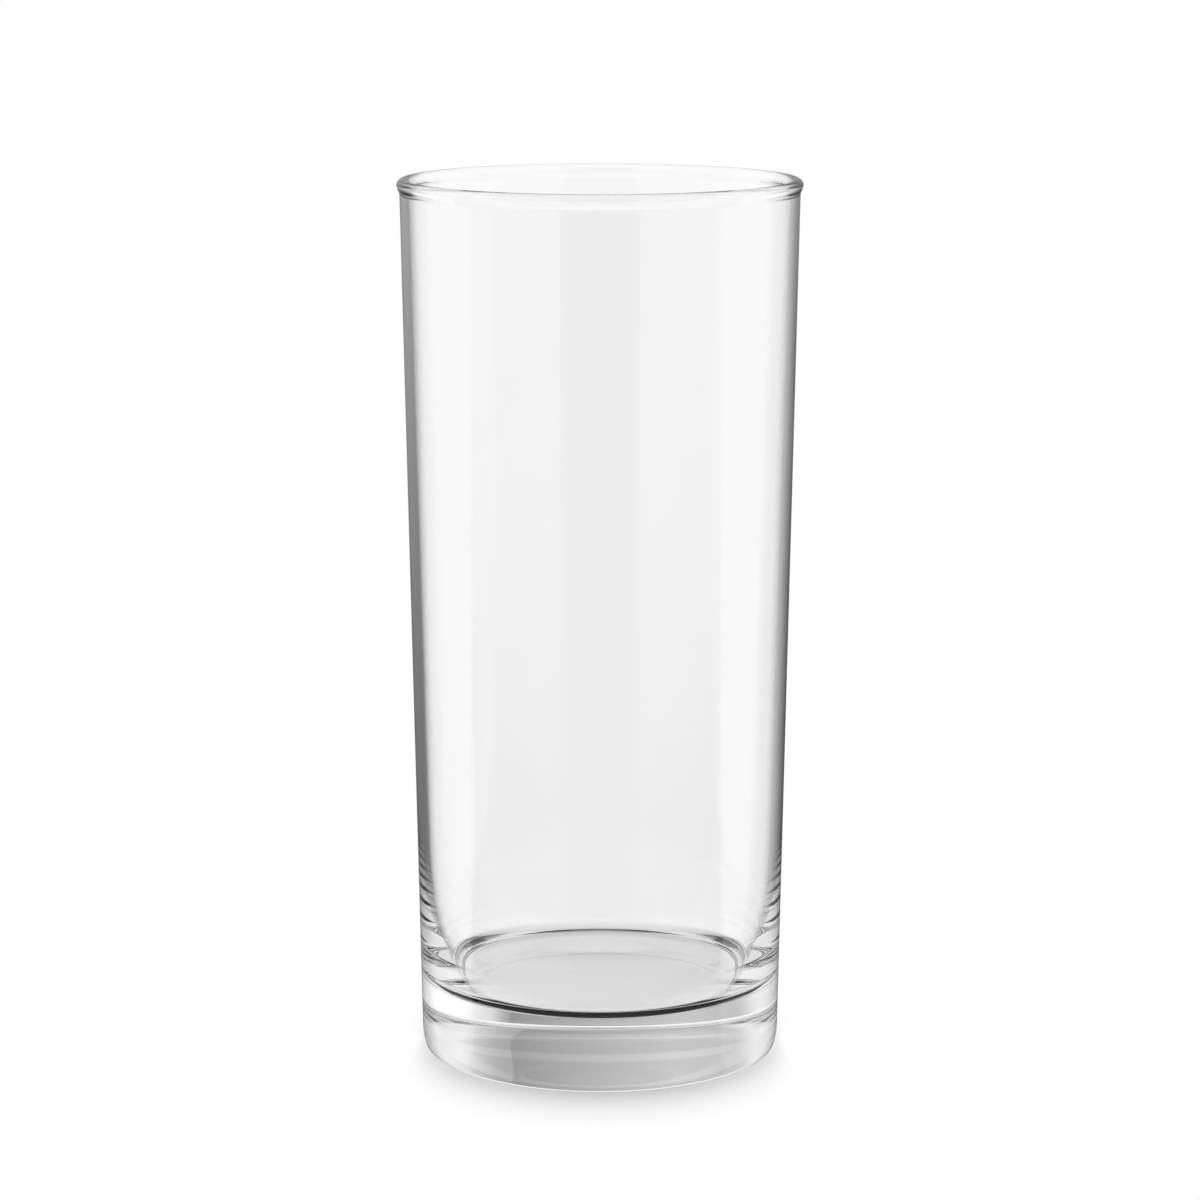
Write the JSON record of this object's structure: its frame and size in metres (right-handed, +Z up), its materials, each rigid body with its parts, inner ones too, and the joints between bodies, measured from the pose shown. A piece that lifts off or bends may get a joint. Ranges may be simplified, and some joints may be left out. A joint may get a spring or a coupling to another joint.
{
  "type": "water glass",
  "caption": "Straight-sided clear glass tumbler with a slight taper, a rounded rim bead and a heavy base with a shallow hollow underneath.",
  "frame": {"origin": "centre of the foot, on the plane that the glass stands on", "axes": "+Z up along the axis of the glass, towards the rim; +X and +Y across it, and the glass is the same all round"},
  "size_m": [0.0682, 0.0682, 0.15],
  "materials": {
    "clear_glass": "polished, colourless"
  },
  "bodies": {
    "root": {"base": "clear_glass", "side_wall": "clear_glass", "rim_bead": "clear_glass"}
  },
  "joints": []
}
